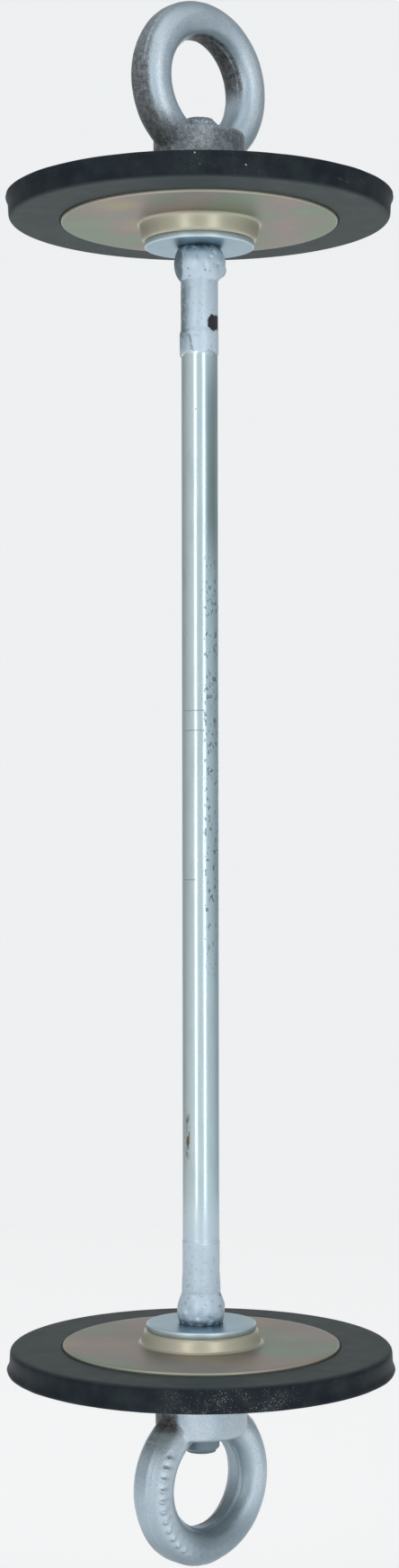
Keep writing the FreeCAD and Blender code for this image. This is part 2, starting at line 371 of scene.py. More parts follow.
class Finish:
    """A material or a world being built from nodes."""

    def __init__(self, owner):
        owner.use_nodes = True
        self.owner = owner
        self.tree = owner.node_tree
        self.tree.nodes.clear()

    def node(self, kind, settings=None, inputs=None, output=0):
        """Add a node, set it up, feed its sockets and give back one of its outputs."""
        made = self.tree.nodes.new(kind)
        for key, value in (settings or {}).items():
            if key == "stops":
                fill_ramp(made.color_ramp, value)
            else:
                setattr(made, key, value)
        for key, value in (inputs or {}).items():
            self.feed(made.inputs[key], value)
        return Wire(self, made.outputs[output]) if made.outputs else None

    def feed(self, socket, value):
        """Link a wire to a socket, or set the socket's own value."""
        if isinstance(value, Wire):
            self.tree.links.new(value.socket, socket)
        elif socket.type == "RGBA" and len(value) == 3:
            socket.default_value = (*value, 1.0)
        else:
            socket.default_value = value

    def place(self):
        """Places on the piece, in the frame's own axes and metres."""
        return self.node("ShaderNodeTexCoord", output="Object")

    def normal(self):
        """Direction that the piece's surface faces, turning with the piece."""
        return self.node("ShaderNodeTexCoord", output="Normal")

    def parts(self, vector):
        """The three parts of a vector."""
        split = self.node("ShaderNodeSeparateXYZ", inputs={0: vector})
        outputs = split.socket.node.outputs
        return [Wire(self, outputs[axis]) for axis in range(3)]

    def along(self, vector, direction):
        """How far a vector reaches in a direction."""
        settings = {"operation": "DOT_PRODUCT"}
        return self.node("ShaderNodeVectorMath", settings, {0: vector, 1: direction}, output="Value")

    def stretched(self, vector, scale):
        """A vector whose three parts are scaled."""
        return self.node("ShaderNodeVectorMath", {"operation": "MULTIPLY"}, {0: vector, 1: scale})

    def moved(self, vector, shift):
        """A vector with another one added."""
        return self.node("ShaderNodeVectorMath", {"operation": "ADD"}, {0: vector, 1: shift})

    def cloud(self, vector, size, detail=2.0):
        """Noise from 0 to 1 whose lumps are about one size across."""
        inputs = {"Vector": vector, "Scale": 1 / size, "Detail": detail, "Roughness": 0.5}
        return self.node("ShaderNodeTexNoise", inputs=inputs)

    def cells(self, vector, size):
        """Distance to the nearest of scattered points about one size apart."""
        inputs = {"Vector": vector, "Scale": 1 / size, "Randomness": 1.0}
        return self.node("ShaderNodeTexVoronoi", {"feature": "F1"}, inputs, output="Distance")

    def blend(self, mask, under, over):
        """One colour where the mask is 0 and another where it is 1."""
        inputs = {0: mask, 6: under, 7: over}
        return self.node("ShaderNodeMix", {"data_type": "RGBA"}, inputs, output=2)

    def relief(self, height, distance, strength):
        """A normal from a height; distance is how deep a height of 1 is."""
        inputs = {"Height": height, "Distance": distance, "Strength": strength}
        return self.node("ShaderNodeBump", inputs=inputs)

    def done(self, colour, roughness, metallic, normal, **fixed):
        """Finish the material with one shader; fixed values are set on its own sockets."""
        inputs = {"Base Color": colour, "Roughness": roughness, "Metallic": metallic, "Normal": normal}
        inputs.update({name.replace("_", " "): value for name, value in fixed.items()})
        shader = self.node("ShaderNodeBsdfPrincipled", inputs=inputs)
        self.node("ShaderNodeOutputMaterial", inputs={"Surface": shader})
        return self.owner


def fill_ramp(color_ramp, stops):
    """Give a colour ramp its stops, each a position and a colour."""
    while len(color_ramp.elements) < len(stops):
        color_ramp.elements.new(1.0)
    for element, (position, colour) in zip(color_ramp.elements, stops):
        element.position = position
        element.color = (*colour, 1.0)


def new_finish(name):
    """An empty material to build."""
    return Finish(bpy.data.materials.new(name))


def sprayed_forging(name, end, looks):
    """Silver paint sprayed over a dark forging, missing where the spray didn't reach; a painted highlight
    lightens the limbs, and painted shade darkens faces turned away from the rod, the tip and the lower eye's
    inner faces.
    """
    finish = new_finish(name)
    place = finish.place()
    facing = finish.normal()
    x, _, z = finish.parts(place)
    level = (z - eye_centre(end)) * outward(end)
    reach = (x * x + level * level).root()
    facing_x, facing_y, facing_z = finish.parts(facing)
    outwards = (facing_x * x + facing_z * level * outward(end)) / reach
    fine = finish.cloud(place, 0.3 * MM, 1.0)
    medium = finish.cloud(place, 1.3 * MM, 3.0)
    broad = finish.cloud(place, 8 * MM, 2.0)
    across = finish.along(place, tuple(ACROSS))
    turned = outwards * 0.6 + facing_y * 0.8
    left = x.rise(-1 * MM, -8 * MM)
    # Painted highlight: lighter paint where the limbs face the lamps, over the left limb's front and the
    # right limb's middle.
    highlight_band = turned.band(-0.62, -0.16, 0.15) * left
    highlight_band = highlight_band.most(facing_y.rise(-0.78, -0.95) * outwards.rise(0.2, -0.1) * x.rise(4 * MM, 11 * MM))
    if end == "upper":
        fall = level.rise(24 * MM, 2 * MM)
        outside = turned.rise(-0.14, 0.25) * left * (fall * 0.52 + 0.32)
        inside = facing_y.rise(-0.62, -0.38) * outwards.rise(-0.1, -0.45) * x.rise(-9 * MM, -2 * MM)
        inside = inside * level.rise(-6 * MM, 3 * MM) * 0.97
        base = level.rise(-11 * MM, -15 * MM) * x.rise(13 * MM, 5 * MM) * 0.74
        # Painted shade on outward faces towards the eye's tip.
        low = outwards.rise(0.2, 0.9) * level.rise(6 * MM, 18 * MM) * 0.35
        crook = x.rise(-3 * MM, -9 * MM) * level.rise(-8 * MM, -15 * MM) * 0.7
    else:
        outside = outwards.rise(0.6, 1.1) * x.rise(4 * MM, -12 * MM) * 0.2
        inside = outwards.rise(-0.8, -1.0) * x.rise(0.0, 9 * MM) * 0.12
        # Painted shade towards the eye's tip and on the inner faces of its right limb.
        low = level.rise(3 * MM, 17 * MM) * x.rise(-17 * MM, -4 * MM) * 0.9
        low = low.most(outwards.rise(-0.45, -0.85) * x.rise(0.0, 6 * MM) * 0.7)
        base = level.rise(-21.6 * MM, -23 * MM) * 0.35
        crook = across.rise(-5.0 * MM, -7.4 * MM) * level.band(-21 * MM, -15.5 * MM, 1.6 * MM)
        crook = crook.most(across.rise(-8 * MM, -12 * MM) * level.band(-17 * MM, -11 * MM, 3 * MM) * 0.4)
    bare = outside.most(inside).most(base).most(crook)
    spread = (medium - 0.5) * 0.6 + (broad - 0.5) * 0.4 + (fine - 0.5) * 1.1
    paint = (1.06 - bare + spread * (0.25 + bare * 0.45)).rise(-0.1, 1.0)
    scale = finish.blend(medium.rise(0.35, 0.7), tuple(looks.scale_dark), tuple(looks.scale_brown))
    shade = finish.blend(broad.rise(0.3, 0.7), tuple(looks.paint_cool), tuple(looks.paint_warm))
    # Lighten the paint with the painted highlight, less towards the tip.
    shade = finish.blend(highlight_band * (1.0 - low) * 0.5, shade, tuple(looks.paint_highlight))
    # Painted shade on faces turned away from the rod and towards the tip; the fine grain darkens the paint
    # between its grains.
    under = (facing_z * outward(end)).rise(0.0, 0.85) * (0.8 if end == "lower" else 0.35)
    grain_and_painted_shade = under.most(low * (0.85 + (fine - 0.5) * 0.6)).most(fine.rise(0.65, 0.35) * 0.3)
    shade = finish.blend(grain_and_painted_shade, shade, tuple(looks.paint_shadow))
    colour = finish.blend(paint, scale, shade)
    roughness = 0.54 - paint * 0.14 + (fine - 0.5) * 0.12
    metallic = 0.3 + paint * 0.42
    rough_skin = fine * 0.5 + medium * 0.9 + paint * 0.2
    normal = finish.relief(rough_skin, 0.14 * MM, 0.6)
    return finish.done(colour, roughness, metallic, normal)


def sprayed_weld(name, end, looks):
    """The same silver paint over weld, with painted shade on its sides, grime and painted shade in the
    crease at the washer, and pits and stains.
    """
    finish = new_finish(name)
    place = finish.place()
    z = finish.parts(place)[2]
    clear = (z - shoulder(end)) * -outward(end)
    across = finish.along(place, tuple(ACROSS))
    medium = finish.cloud(place, 1.4 * MM, 3.0)
    fine = finish.cloud(place, 0.3 * MM, 2.0)
    broad = finish.cloud(place, 3.5 * MM, 2.0)
    # Grime and painted shade in the crease at the washer, darkest right at it.
    grime_and_crease_shade = clear.rise(3.0 * MM, 0.2 * MM) * (medium + 0.3).rise(0.5, 0.9)
    grime_and_crease_shade = grime_and_crease_shade.most(clear.rise(0.5 * MM, 0.1 * MM) * 0.9)
    # Painted shade on the weld's left side, and a little on its right.
    side_shade = across.rise(-3.2 * MM, -5.6 * MM) * looks.side_shade + across.rise(6.0 * MM, 7.2 * MM) * 0.4
    side_shade = (side_shade + (broad - 0.5) * 0.8 + (medium - 0.5) * 0.6).rise(0.35, 0.95) * 0.8
    pits = finish.cells(place, 2.2 * MM).rise(0.16, 0.05) * broad.rise(0.5, 0.62)
    stained = medium.rise(0.46, 0.3) * broad.rise(0.4, 0.6) * 0.6
    dark = grime_and_crease_shade.most(pits * 0.7).most(stained).most(side_shade)
    shade = finish.blend(broad.rise(0.35, 0.65) * 0.35, tuple(looks.weld_paint), tuple(looks.paint_cool))
    colour = finish.blend(dark, shade, tuple(looks.weld_dark))
    roughness = 0.42 + dark * 0.1 + (medium - 0.5) * 0.25
    normal = finish.relief(medium * 0.6 + fine * 0.15 - pits, 0.2 * MM, 0.6)
    return finish.done(colour, roughness, 0.4, normal)


def galvanised_rod(name, looks):
    """Zinc plating drawn out along the rod, its marks of use, and the paint film beyond each weld."""
    finish = new_finish(name)
    place = finish.place()
    z = finish.parts(place)[2]
    radius = rim_radius("centre_rod")
    across = finish.along(place, tuple(ACROSS)) / radius
    front = finish.along(place, tuple(WORN_SIDE)) / radius
    drawn = finish.cloud(finish.stretched(place, (1.0, 1.0, 0.02)), 0.5 * MM, 3.0)
    mottled = finish.cloud(finish.stretched(place, (1.0, 1.0, 0.25)), 5 * MM, 3.0)
    fine = finish.cloud(place, 0.3 * MM, 2.0)
    broad = finish.cloud(finish.stretched(place, (1.0, 1.0, 0.12)), 9 * MM, 2.0)

    worn = across.band(0.25, 0.98, 0.12) * z.band(*KNOCKS, 14 * MM) * front.rise(-0.1, 0.1)
    chips = finish.cloud(finish.stretched(place, (1.0, 1.0, 0.6)), 0.9 * MM, 3.0)
    stray = finish.cells(finish.moved(place, (0.013, 0.0, 0.0)), 6.5 * MM)
    pits = (chips.rise(0.57, 0.64) * worn).most(stray.rise(0.035, 0.02))
    rust_place = across.band(-0.82, -0.6, 0.07) * front.rise(0.0, 0.3) * z.band(*RUST, 2 * MM)
    flakes = finish.cloud(finish.stretched(place, (1.0, 1.0, 0.3)), 0.8 * MM, 3.0)
    rust = rust_place * flakes.rise(0.45, 0.55)
    stain = across.band(0.35, 0.9, 0.2) * front.rise(0.0, 0.2) * z.band(*STAIN, 12 * MM)

    rings = None
    for height, low, high in looks.scribed:
        line = abs(z - height * MM + (mottled - 0.5) * 0.4 * MM).rise(0.22 * MM, 0.08 * MM)
        part = line * across.band(low, high, 0.08) * front.rise(-0.1, 0.1)
        rings = part if rings is None else rings.most(part)

    bar_low, bar_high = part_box("centre_rod")
    before, after = SMOOTH_TIP + 0.2 * MM, SMOOTH_TIP - 0.2 * MM
    tips = z.rise(bar_high.z - before, bar_high.z - after)
    tips = tips.most(z.rise(bar_low.z + before, bar_low.z + after))
    upper_film = z + (finish.cloud(place, 2.4 * MM, 3.0) - 0.5) * 5 * MM
    lower_film = z + (finish.cloud(place, 6 * MM, 2.0) - 0.5) * 3 * MM
    film = upper_film.rise(UPPER_FILM_EDGE, UPPER_FILM_EDGE + 0.4 * MM)
    film = film.most(lower_film.rise(LOWER_FILM_EDGE + 0.2 * MM, LOWER_FILM_EDGE - 0.4 * MM))
    mist = z.rise(*MIST) * (0.35 + fine * 0.5)
    paint = film.most(mist).most(tips)
    soot = finish.cloud(place, 1.1 * MM, 3.0)
    black = across.band(0.45, 1.1, 0.22) * front.rise(-0.3, 0.0) * z.band(*BURN, 1.6 * MM)
    black = (black + (soot - 0.5) * 0.9).rise(0.36, 0.66) * film
    # Painted shade on the left side of the upper paint film.
    shaded = across.rise(-0.4, -0.9) * z.band(*SHADED_FILM_SPAN, 5 * MM) * 0.75
    shaded = shaded * (soot + 0.35).rise(0.4, 0.9)
    crack_line = across + 0.62 + (z + 68 * MM) * (0.05 / MM) + (finish.cloud(place, 1.2 * MM) - 0.5) * 0.3
    crack = abs(crack_line).rise(0.07, 0.03) * z.band(*CRACK, 0.5 * MM) * front.rise(0.0, 0.2)
    scuffs = film * finish.cloud(place, 1.1 * MM, 3.0).rise(0.56, 0.7) * 0.45

    tint = (across * -0.45 + 0.5 + (mottled - 0.5) * 0.8).rise(0.2, 0.8)
    plating = finish.blend(tint, tuple(looks.zinc_blue), tuple(looks.zinc_green))
    plating = finish.blend(stain * (broad.rise(0.3, 0.7) * 0.3 + 0.6), plating, tuple(looks.stain))
    worked = mottled.rise(0.45, 0.75) * 0.3 + worn * 0.22 + fine.rise(0.55, 0.75) * 0.15
    plating = finish.blend(worked, plating, tuple(looks.zinc_dull))
    plating = finish.blend(pits * 0.7, plating, tuple(looks.pit))
    marks = (rings * (0.3 + fine * 0.6)).most(rust_place * 0.2) * 0.8
    plating = finish.blend(marks, plating, tuple(looks.pit))
    plating = finish.blend(rust, plating, tuple(looks.rust))
    painted = finish.blend(scuffs.most(crack), tuple(looks.paint), tuple(looks.scuff))
    grit_and_tip_shade = finish.blend(fine.rise(0.38, 0.62), tuple(looks.scale_brown), tuple(looks.paint_cool))
    # Painted shade: the lower stud's tip takes the darker paint colour.
    grit_and_tip_shade = finish.blend(z.rise(-0.1, -0.2), grit_and_tip_shade, tuple(looks.paint_shadow))
    painted = finish.blend(shaded, painted, tuple(looks.weld_dark))
    painted = finish.blend(tips, painted, grit_and_tip_shade)
    painted = finish.blend(black, painted, tuple(looks.black))
    colour = finish.blend(paint, plating, painted)
    dull = paint.least(1.0)
    roughness = 0.25 + (drawn - 0.5) * 0.16 + pits * 0.3 + rust * 0.4 + dull * 0.22
    metallic = 1.0 - dull * 0.6 - rust * 0.7 - black * 0.3
    wrinkles = finish.cloud(place, 0.9 * MM, 3.0) * z.rise(LOWER_SWELL, LOWER_SWELL - 4 * MM) * 2.0
    lift = wrinkles + film * 1.2 - pits * 0.9 - rings * 0.8 - crack * 2.0 + drawn * 0.10 + fine * film * 0.3
    normal = finish.relief(lift, 0.09 * MM, 0.8)
    return finish.done(colour, roughness, metallic, normal)


def zinc_washer(name, looks):
    """Pale blue zinc on punched steel: faintly mottled faces and a sheared rim coloured near white, bare
    steel with a painted highlight.
    """
    finish = new_finish(name)
    place = finish.place()
    x, y, _ = finish.parts(place)
    reach = (x * x + y * y).root()
    rim = reach.rise(14.4 * MM, 14.8 * MM)
    mottled = finish.cloud(place, 2.2 * MM, 4.0)
    broad = finish.cloud(place, 9 * MM, 1.0)
    rolled = finish.cloud(finish.stretched(place, (0.06, 1.0, 1.0)), 0.35 * MM, 2.0)
    sheared = finish.cloud(finish.stretched(place, (1.0, 1.0, 0.15)), 0.3 * MM, 2.0)
    scuffs = finish.cells(place, 2.4 * MM).rise(0.12, 0.05)
    colour = finish.blend(mottled.rise(0.3, 0.75), tuple(looks.washer_blue), tuple(looks.washer_grey))
    # The sheared rim is coloured near white: bare sheared steel with a painted highlight.
    colour = finish.blend(rim * 0.55, colour, tuple(looks.sheared_rim_highlight))
    colour = finish.blend(scuffs * 0.3, colour, tuple(looks.pit))
    roughness = 0.36 + (mottled - 0.5) * 0.16 + (broad - 0.5) * 0.1 + rim * 0.06
    lift = rolled * (1.0 - rim) * 0.4 + sheared * rim + mottled * 0.3
    normal = finish.relief(lift, 0.03 * MM, 0.6)
    return finish.done(colour, roughness, 1.0, normal)


def yellow_chromate(name, looks):
    """Yellow chromate over zinc: khaki that drifts to pink and to green, lighter at the rim, with a painted
    highlight on the hub.
    """
    finish = new_finish(name)
    place = finish.place()
    x, y, _ = finish.parts(place)
    reach = (x * x + y * y).root()
    rim = rim_radius("upper_inner_plate")
    edge = reach.rise(rim - 0.6 * MM, rim - 0.1 * MM)
    drift = finish.cloud(finish.moved(place, (0.031, 0.017, 0.0)), 26 * MM, 2.0)
    patch = finish.cloud(finish.moved(place, (0.0, 0.052, 0.0)), 14 * MM, 3.0)
    speck = finish.cloud(place, 0.5 * MM, 3.0)
    rolled = finish.cloud(finish.stretched(place, (0.05, 1.0, 1.0)), 0.5 * MM, 3.0)
    stops = [
        (0.30, tuple(looks.chromate_green)),
        (0.47, tuple(looks.chromate_khaki)),
        (0.56, tuple(looks.chromate_pink)),
        (0.70, tuple(looks.chromate_gold)),
    ]
    colour = finish.node("ShaderNodeValToRGB", {"stops": stops}, {0: drift * 0.6 + patch * 0.4})
    # Painted highlight on the hub, which is also made smoother.
    hub = reach.rise(17.4 * MM, 16.6 * MM)
    colour = finish.blend(hub * 0.75, colour, tuple(looks.chromate_hub_highlight))
    colour = finish.blend(edge * 0.6, colour, tuple(looks.chromate_edge))
    spots = finish.cells(place, 7 * MM).rise(0.05, 0.03)
    colour = finish.blend(spots * 0.6, colour, tuple(looks.pit))
    roughness = 0.46 + (patch - 0.5) * 0.14 + (speck - 0.5) * 0.08 - hub * 0.1
    normal = finish.relief(rolled * 0.5 + speck * 0.3, 0.03 * MM, 0.5)
    return finish.done(colour, roughness, 0.85, normal)


def moulded_rubber(name, end, looks):
    """Black rubber: flat faces painted lighter than the walls as sheen, greyed patches, fine mould grain,
    scuffs and dust.
    """
    finish = new_finish(name)
    place = finish.place()
    facing = finish.normal()
    flat = abs(finish.along(facing, (0.0, 0.0, 1.0))).rise(0.55, 0.9)
    grain_fine = finish.cloud(place, 0.25 * MM, 2.0)
    mottled = finish.cloud(place, 5 * MM, 4.0)
    broad = finish.cloud(place, 22 * MM, 2.0)
    scuff_place = finish.stretched(place, (0.25, 1.0, 1.0))
    scuffs = finish.cloud(finish.moved(scuff_place, (0.02, 0.0, 0.0)), 1.1 * MM, 2.0).rise(0.66, 0.74)
    scuffs = scuffs * broad.rise(0.48, 0.62)
    rim = rim_radius(f"{end}_rubber_disc")
    front = finish.along(place, tuple(WORN_SIDE)) / rim
    across = finish.along(place, tuple(ACROSS)) / rim
    dusty = looks.dust * (1.0 - flat) * front.rise(0.4, 0.7) * across.band(-0.12, 0.42, 0.16)
    powder = finish.cloud(place, 0.22 * MM, 1.0).rise(0.6, 0.72) * mottled.rise(0.35, 0.65) * 0.5
    dust = finish.cells(place, 0.6 * MM).rise(0.2, 0.1).most(powder) * mottled.rise(0.3, 0.6) * dusty
    crumbs = finish.cells(finish.moved(place, (0.0, 0.02, 0.0)), 9 * MM).rise(0.03, 0.018)
    # Flat faces lighter than the walls: a painted sheen, with the walls as its shaded copy.
    colour = finish.blend(flat, tuple(looks.rubber_wall), tuple(looks.rubber_face_sheen))
    colour = finish.blend((mottled - 0.3).rise(0.0, 0.6) * 0.5, colour, tuple(looks.rubber_bloom))
    colour = finish.blend(scuffs * 0.35, colour, tuple(looks.rubber_scuff))
    colour = finish.blend(dust.most(crumbs * 0.8), colour, tuple(looks.rubber_dust))
    roughness = 0.5 + (mottled - 0.5) * 0.16 + flat * 0.04 + scuffs * 0.1
    lift = grain_fine * 0.35 + mottled * 0.5 + scuffs * 0.6 + dust * 0.8
    normal = finish.relief(lift, 0.1 * MM, 0.5)
    return finish.done(colour, roughness, 0.0, normal, Specular_IOR_Level=0.18)


# ---------------------------------------------------------------- sizes and colours a user would change

def length(name, description, default):
    """A length that a user can change."""
    return bpy.props.FloatProperty(
        name=name, description=description, default=default, unit="LENGTH", subtype="DISTANCE", precision=5
    )


def share(name, description, default):
    """A share from 0 to 1 that a user can change."""
    return bpy.props.FloatProperty(
        name=name, description=description, default=default, min=0.0, max=1.0, subtype="FACTOR"
    )


def count(name, description, default):
    """A whole number that a user can change."""
    return bpy.props.IntProperty(name=name, description=description, default=default, min=1)


def colour(name, description, default):
    """A colour that a user can change."""
    return bpy.props.FloatVectorProperty(
        name=name, description=description, default=default, size=3, min=0.0, max=1.0, subtype="COLOR"
    )


class RodSettings(bpy.types.PropertyGroup):
    """Sizes of the rod and its threads."""

    pitch: length("Thread pitch", "Distance between two turns of the M10 thread", 1.5 * MM)
    thread_depth: length("Thread depth", "From the thread's crest to its root", 0.85 * MM)
    chamfer: length("Chamfer", "Bevel on the rod's ends", 1.2 * MM)
    film: length("Paint film", "Thickness of the paint next to the welds", 0.12 * MM)
    sides: count("Sides", "Faces round the rod", 72)


class WeldSettings(bpy.types.PropertyGroup):
    """Shape of the weld beads."""

    lump: length("Lumps", "Height of the weld's unevenness", 0.3 * MM)
    voxel: length("Voxel", "Detail of the remeshed weld", 0.22 * MM)


class WasherSettings(bpy.types.PropertyGroup):
    """Shape of the flat washers."""

    bore: length("Hole", "Diameter of the washer's hole", 10.5 * MM)
    rollover: length("Rollover", "Rounding where the punch went in", 0.4 * MM)
    burr: length("Burr side", "Rounding where the punch came out", 0.15 * MM)


class PlateSettings(bpy.types.PropertyGroup):
    """Shape of the dished plates."""

    bore: length("Hole", "Diameter of the plate's hole", 11 * MM)
    sheet: length("Sheet", "Thickness of the plate", 1.0 * MM)
    hub_top: length("Hub top", "Outside radius at the top of the hub", 15.5 * MM)
    hub_foot: length("Hub foot", "Outside radius at the foot of the hub", 16.4 * MM)
    bead: length("Foot bead", "Size of the bead round the hub's foot", 0.5 * MM)
    wave: length("Waviness", "How far the flange strays from flat", 0.1 * MM)


class DiscSettings(bpy.types.PropertyGroup):
    """Shape of the rubber discs."""

    bore: length("Hole", "Diameter of the disc's hole", 10.6 * MM)
    lip: length("Lip", "How far the moulding lip stands out", 1.0 * MM)
    lip_edge: length("Lip edge", "Thickness of the lip at its edge", 1.0 * MM)
    rim: length("Rim rounding", "Rounding on the ball's side", 1.2 * MM)
    recess: length("Recess radius", "Where the plates have sunk in", 37.9 * MM)
    sunk: length("Recess depth", "How far the plates have sunk in", 0.25 * MM)
    uneven: length("Unevenness", "How far the rim strays from round", 0.22 * MM)


class EyeSettings(bpy.types.PropertyGroup):
    """Shape of the forged eye nuts."""

    hole: length("Hole", "Diameter of the eye's hole", 25 * MM)
    depth: length("Depth", "Thickness of the eye along its hole", 11.8 * MM)
    base_height: length("Base height", "Height of the round base", 10 * MM)
    bore: length("Bore", "Diameter of the threaded bore", 10 * MM)
    fillet: count("Fillet", "Rounds of smoothing where ring and base meet", 26)
    ridge: length("Ridge", "Height of the parting line that the dies left", 0.4 * MM)
    land: length("Land", "Width of the trimmed band along the parting line", 4.0 * MM)
    voxel: length("Voxel", "Detail of the remeshed forging", 0.36 * MM)
    bars: count("Bars", "Raised bars in the row on the lower eye", 16)


class Looks(bpy.types.PropertyGroup):
    """Colours of the finishes."""

    paint_cool: colour("Paint, cool", "Silver paint where it is bluest", (0.44, 0.55, 0.64))
    paint_warm: colour("Paint, warm", "Silver paint where it is greyest", (0.52, 0.61, 0.68))
    weld_paint: colour("Weld, paint", "Silver paint on the welds", (0.58, 0.70, 0.80))
    # Colour of the weld's pits and stains, its grime, and the painted shade on the welds and the rod's upper
    # film.
    weld_dark: colour("Weld, dark", "Weld that the spray missed", (0.05, 0.085, 0.11))
    # Colour of the painted highlight along the eyes' limbs.
    paint_highlight: colour("Paint, bright", "Silver paint where the coat is thickest", (0.74, 0.84, 0.93))
    # Colour of the painted shade on the eyes and the lower stud's tip, and of the paint between its grains.
    paint_shadow: colour("Paint, thin", "Silver paint between its grains", (0.17, 0.23, 0.27))
    scale_dark: colour("Forging, dark", "Bare forging scale", (0.030, 0.031, 0.033))
    scale_brown: colour("Forging, brown", "Bare forging with a trace of rust", (0.105, 0.092, 0.085))
    zinc_blue: colour("Zinc, blue", "Rod plating", (0.53, 0.68, 0.74))
    zinc_green: colour("Zinc, green", "Rod plating where it is greener", (0.60, 0.70, 0.72))
    zinc_dull: colour("Zinc, dull", "Rod plating where handling has dulled it", (0.30, 0.43, 0.49))
    stain: colour("Stain", "Darkened plating", (0.16, 0.22, 0.22))
    pit: colour("Pit", "Knocks and pits in plating", (0.10, 0.13, 0.15))
    rust: colour("Rust", "Rust on the rod", (0.16, 0.10, 0.05))
    paint: colour("Film", "Paint film on the rod", (0.58, 0.70, 0.80))
    scuff: colour("Scuff", "Scuffs in the paint film", (0.34, 0.42, 0.48))
    black: colour("Burn", "Burnt patch beside the weld", (0.010, 0.015, 0.022))
    washer_blue: colour("Washer, blue", "Zinc of the washers", (0.27, 0.40, 0.48))
    washer_grey: colour("Washer, grey", "Zinc of the washers where it is greyer", (0.34, 0.47, 0.54))
    # Near white: sheared steel with a painted highlight.
    sheared_rim_highlight: colour("Washer rim", "Sheared rim of the washers", (0.85, 0.95, 1.0))
    chromate_khaki: colour("Khaki", "Chromate, most of the plate", (0.235, 0.262, 0.205))
    chromate_gold: colour("Gold", "Chromate where it is yellowest", (0.36, 0.32, 0.20))
    chromate_pink: colour("Pink", "Chromate where it is pinkest", (0.30, 0.25, 0.23))
    chromate_green: colour("Green", "Chromate where it is greenest", (0.20, 0.28, 0.20))
    # Colour of the painted highlight on the plates' hubs.
    chromate_hub_highlight: colour("Hub", "Chromate worn bright on the hub", (0.56, 0.54, 0.42))
    chromate_edge: colour("Plate edge", "Bright rim of the plate", (0.55, 0.54, 0.44))
    # Flat faces painted lighter as sheen; the wall colour is the shaded copy.
    rubber_face_sheen: colour("Rubber face", "Flat faces of the rubber", (0.022, 0.034, 0.036))
    rubber_wall: colour("Rubber wall", "Side of the rubber", (0.003, 0.008, 0.014))
    rubber_bloom: colour("Bloom", "Greyed rubber", (0.032, 0.045, 0.048))
    rubber_scuff: colour("Rubber scuff", "Scuffed rubber", (0.10, 0.12, 0.125))
    rubber_dust: colour("Dust", "Pale dust on the rubber", (0.42, 0.46, 0.47))
    dust: share("Dust", "How much dust lies on the disc's wall", 0.0)
    # Strength of the painted shade on the weld's left side.
    side_shade: share("Missed", "How much of the weld's left side the spray missed", 0.0)

    # Scribed rings round the rod: height in mm, and from where to where across its worn side.
    scribed = ((-170.1, -0.9, 0.2), (-175.5, -0.85, 0.2), (-215.9, -0.9, -0.3))


# ---------------------------------------------------------------- pieces

def model_washer(node, sizes):
    """A punched washer: rounded on the punch's side and nearly sharp on the other."""
    inner, outer = faces(node)
    rim = rim_radius(node)
    bore = sizes.bore / 2
    outline = [(bore, inner), (rim, inner), (rim, outer), (bore, outer)]
    rounds = [(1, sizes.rollover, 4), (0, sizes.rollover / 2, 3), (2, sizes.burr, 2), (3, sizes.burr, 2)]
    piece = lathe(f"{node}_punched", outline, 128, rounds, longest=2 * MM)
    smooth_by_angle(piece, 40)
    return piece


def model_plate(node, sizes):
    """A pressed plate: a flange, a rounded bead at the hub's foot and a tapering hub."""
    near, far = faces(node)
    hub_inward = "inner" in node
    top, flange = (near, far) if hub_inward else (far, near)
    up = 1 if top > flange else -1
    height = abs(top - flange)
    rim = rim_radius(node)
    bore = sizes.bore / 2
    sheet = sizes.sheet
    foot = sizes.hub_foot
    wall = 0.8 * sheet
    corners = [
        (bore, height),
        (sizes.hub_top, height),
        (foot, sheet + sizes.bead),
        (foot + 0.5 * sizes.bead, sheet + sizes.bead),
        (foot + 1.6 * sizes.bead, sheet),
        (rim, sheet),
        (rim, 0),
        (foot - wall, 0),
        (sizes.hub_top - wall, height - sheet),
        (bore, height - sheet),
    ]
    outline = [(radius, flange + up * level) for radius, level in corners]
    rounds = [
        (1, 0.9 * MM, 5),
        (2, 0.2 * MM, 2),
        (3, 0.25 * MM, 3),
        (4, 0.5 * MM, 3),
        (5, 0.42 * MM, 4),
        (6, 0.2 * MM, 2),
        (7, 0.8 * MM, 3),
        (8, 0.5 * MM, 3),
    ]
    piece = lathe(f"{node}_pressed", outline, 180, rounds, longest=1.6 * MM)

    def ripple(place):
        reach = math.hypot(place.x, place.y)
        free = ramp(reach, 20 * MM, rim)
        flat_place = Vector((place.x, place.y, 0))
        return Vector((0, 0, up * sizes.wave * free * max(0.0, grain(flat_place, 24 * MM, 3.0))))

    nudge(piece, ripple)
    smooth_by_angle(piece, 40)
    return piece


